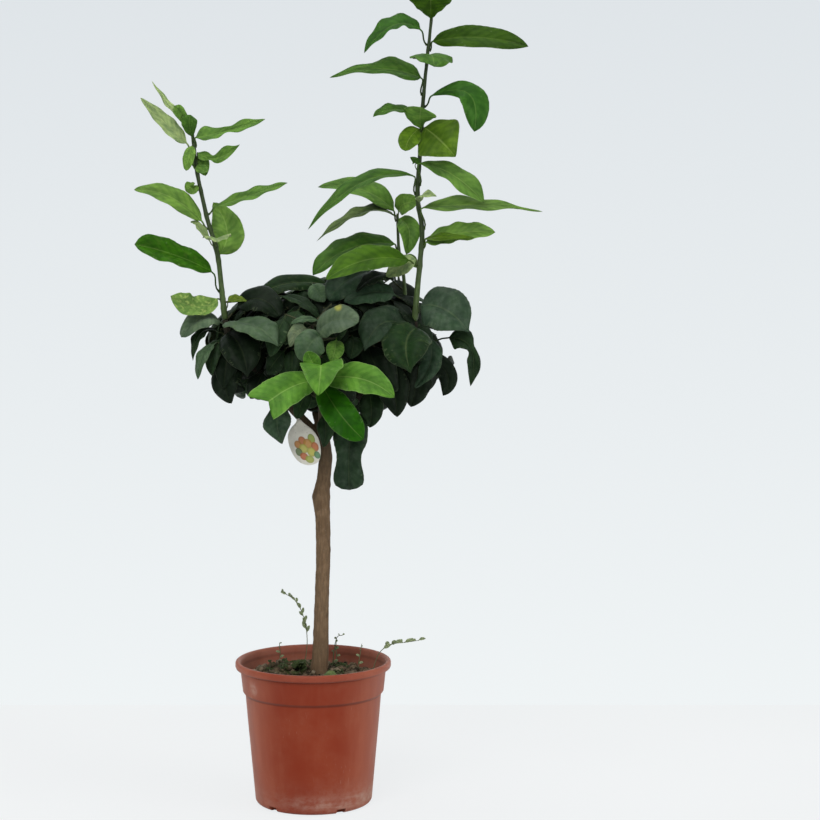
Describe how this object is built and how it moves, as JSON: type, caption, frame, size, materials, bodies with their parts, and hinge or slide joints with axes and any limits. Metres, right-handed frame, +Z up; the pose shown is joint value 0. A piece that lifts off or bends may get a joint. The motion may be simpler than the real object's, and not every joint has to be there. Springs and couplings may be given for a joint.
{
  "type": "potted bergamot orange tree",
  "caption": "Young citrus tree with a leafy crown on a thin grafted trunk and long upright shoots, in a round tapered nursery pot with soil, weeds and a hanging label.",
  "frame": {"origin": "centre of the pot's flat underside, on the surface that it stands on", "axes": "+Z up along the trunk, -Y towards the front, the side from which the label is seen, +X to the right"},
  "size_m": [0.5402, 0.386, 1.1514],
  "materials": {
    "pot_plastic": "terracotta brown moulded plastic, satin, dusty and scuffed near the foot",
    "soil": "dark crumbly peat and bark mix, matt",
    "bark": "grey-brown young citrus bark, matt, with small scars",
    "green_stem": "smooth green shoot bark, satin",
    "label_plastic": "off-white flexible plastic sheet, satin, with a printed pattern of coloured spots",
    "weed": "soft thin leaf, matt",
    "leaf_dark": "old leathery leaf, dark green, semi-gloss",
    "leaf_green": "leathery leaf, mid green, semi-gloss",
    "leaf_fresh": "young leaf, fresh green, satin",
    "leaf_glossy": "young leaf, deep green, glossy",
    "leaf_dusty": "old leaf with a grey dusty bloom, matt",
    "leaf_pale": "youngest leaf, pale grey-green, matt",
    "leaf_lime": "yellow-green mottled leaf, satin"
  },
  "bodies": {
    "root": {"back_leaf_1": "leaf_dark", "back_leaf_2": "leaf_dark", "back_leaf_3": "leaf_dark", "back_seedling": "weed", "centre_shoot": "green_stem", "centre_shoot_leaf_1": "leaf_green", "centre_shoot_leaf_2": "leaf_green", "crown_leaf_1": "leaf_dusty", "crown_leaf_10": "leaf_dark", "crown_leaf_11": "leaf_dark", "crown_leaf_2": "leaf_dark", "crown_leaf_3": "leaf_dark", "crown_leaf_4": "leaf_dusty", "crown_leaf_5": "leaf_dark", "crown_leaf_6": "leaf_dusty", "crown_leaf_7": "leaf_dark", "crown_leaf_8": "leaf_dark", "crown_leaf_9": "leaf_dusty", "front_leaf_1": "leaf_fresh", "front_leaf_2": "leaf_fresh", "front_leaf_3": "leaf_fresh", "front_leaf_4": "leaf_glossy", "left_seedling": "weed", "left_shoot": "green_stem", "left_shoot_leaf_1": "leaf_green", "left_shoot_leaf_10": "leaf_green", "left_shoot_leaf_2": "leaf_fresh", "left_shoot_leaf_3": "leaf_fresh", "left_shoot_leaf_4": "leaf_fresh", "left_shoot_leaf_5": "leaf_fresh", "left_shoot_leaf_6": "leaf_fresh", "left_shoot_leaf_7": "leaf_pale", "left_shoot_leaf_8": "leaf_pale", "left_shoot_leaf_9": "leaf_lime", "low_leaf_1": "leaf_dark", "low_leaf_2": "leaf_dark", "low_leaf_3": "leaf_dark", "plant_label": "label_plastic", "pot": "pot_plastic", "potting_soil": "soil", "right_shoot": "green_stem", "right_shoot_leaf_1": "leaf_fresh", "right_shoot_leaf_10": "leaf_green", "right_shoot_leaf_11": "leaf_fresh", "right_shoot_leaf_12": "leaf_fresh", "right_shoot_leaf_13": "leaf_green", "right_shoot_leaf_14": "leaf_green", "right_shoot_leaf_2": "leaf_green", "right_shoot_leaf_3": "leaf_green", "right_shoot_leaf_4": "leaf_green", "right_shoot_leaf_5": "leaf_green", "right_shoot_leaf_6": "leaf_green", "right_shoot_leaf_7": "leaf_green", "right_shoot_leaf_8": "leaf_fresh", "right_shoot_leaf_9": "leaf_fresh", "rim_weed": "weed", "tall_weed": "weed", "trunk": "bark", "weed_tuft": "weed"}
  },
  "joints": []
}
